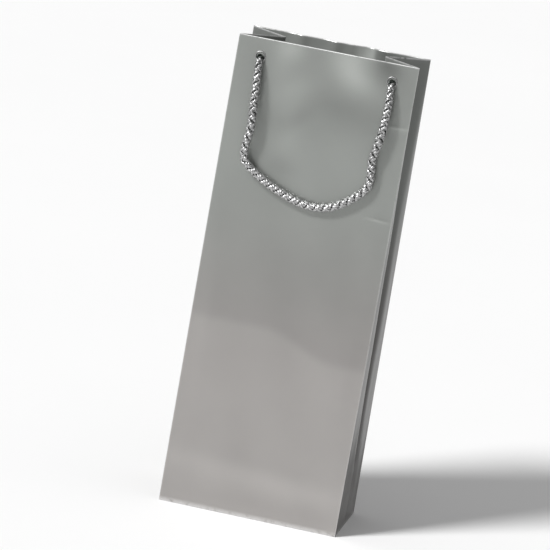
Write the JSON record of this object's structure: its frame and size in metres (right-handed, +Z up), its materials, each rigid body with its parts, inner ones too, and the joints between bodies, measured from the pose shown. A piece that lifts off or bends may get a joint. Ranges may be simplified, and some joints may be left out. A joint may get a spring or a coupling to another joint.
{
  "type": "wine gift bag",
  "caption": "Tall narrow paper gift bag for one bottle, with a square bottom, folded side gussets, metal eyelets and two knotted rope handles that swing.",
  "frame": {"origin": "centre of the bag's footprint, on the surface it stands on", "axes": "+Z up to the mouth, +X to the right across the front panel, -Y out of the front panel"},
  "size_m": [0.13, 0.076, 0.34],
  "materials": {
    "silver_paper": "silver satin laminate outside, white paper inside",
    "grey_board": "plain greyboard",
    "white_card": "white-lined board, matt",
    "eyelet_metal": "bright rolled rim",
    "silver_rope": "braided metallic yarn"
  },
  "bodies": {
    "bag": {"back_bottom_flap": "silver_paper", "back_hem": "silver_paper", "back_left_cord_knot": "silver_rope", "back_left_cord_stub": "silver_rope", "back_left_eyelet": "eyelet_metal", "back_panel": "silver_paper", "back_right_cord_knot": "silver_rope", "back_right_cord_stub": "silver_rope", "back_right_eyelet": "eyelet_metal", "back_stiffener_card": "grey_board", "front_bottom_flap": "silver_paper", "front_hem": "silver_paper", "front_left_cord_knot": "silver_rope", "front_left_cord_stub": "silver_rope", "front_left_eyelet": "eyelet_metal", "front_panel": "silver_paper", "front_right_cord_knot": "silver_rope", "front_right_cord_stub": "silver_rope", "front_right_eyelet": "eyelet_metal", "front_stiffener_card": "grey_board", "left_bottom_flap": "silver_paper", "left_gusset_back": "silver_paper", "left_gusset_back_hem": "silver_paper", "left_gusset_foot": "silver_paper", "left_gusset_front": "silver_paper", "left_gusset_front_hem": "silver_paper", "right_bottom_flap": "silver_paper", "right_gusset_back": "silver_paper", "right_gusset_back_hem": "silver_paper", "right_gusset_foot": "silver_paper", "right_gusset_front": "silver_paper", "right_gusset_front_hem": "silver_paper", "side_seam_flap": "silver_paper"},
    "front_handle": {"front_handle_cord": "silver_rope"},
    "back_handle": {"back_handle_cord": "silver_rope"},
    "base_card": {"base_card": "white_card"}
  },
  "joints": [
    {"name": "front_handle_swing", "type": "hinge", "parent": "bag", "child": "front_handle", "pos_m": [0, -0.0298, 0.32697], "axis": [-1, 0, 0], "range_deg": [0, 180]},
    {"name": "back_handle_swing", "type": "hinge", "parent": "bag", "child": "back_handle", "pos_m": [0, 0.0298, 0.32697], "axis": [1, 0, 0], "range_deg": [0, 180]},
    {"name": "base_card_lift", "type": "slide", "parent": "bag", "child": "base_card", "axis": [0, 0, 1], "range_m": [0, 0.01]}
  ]
}
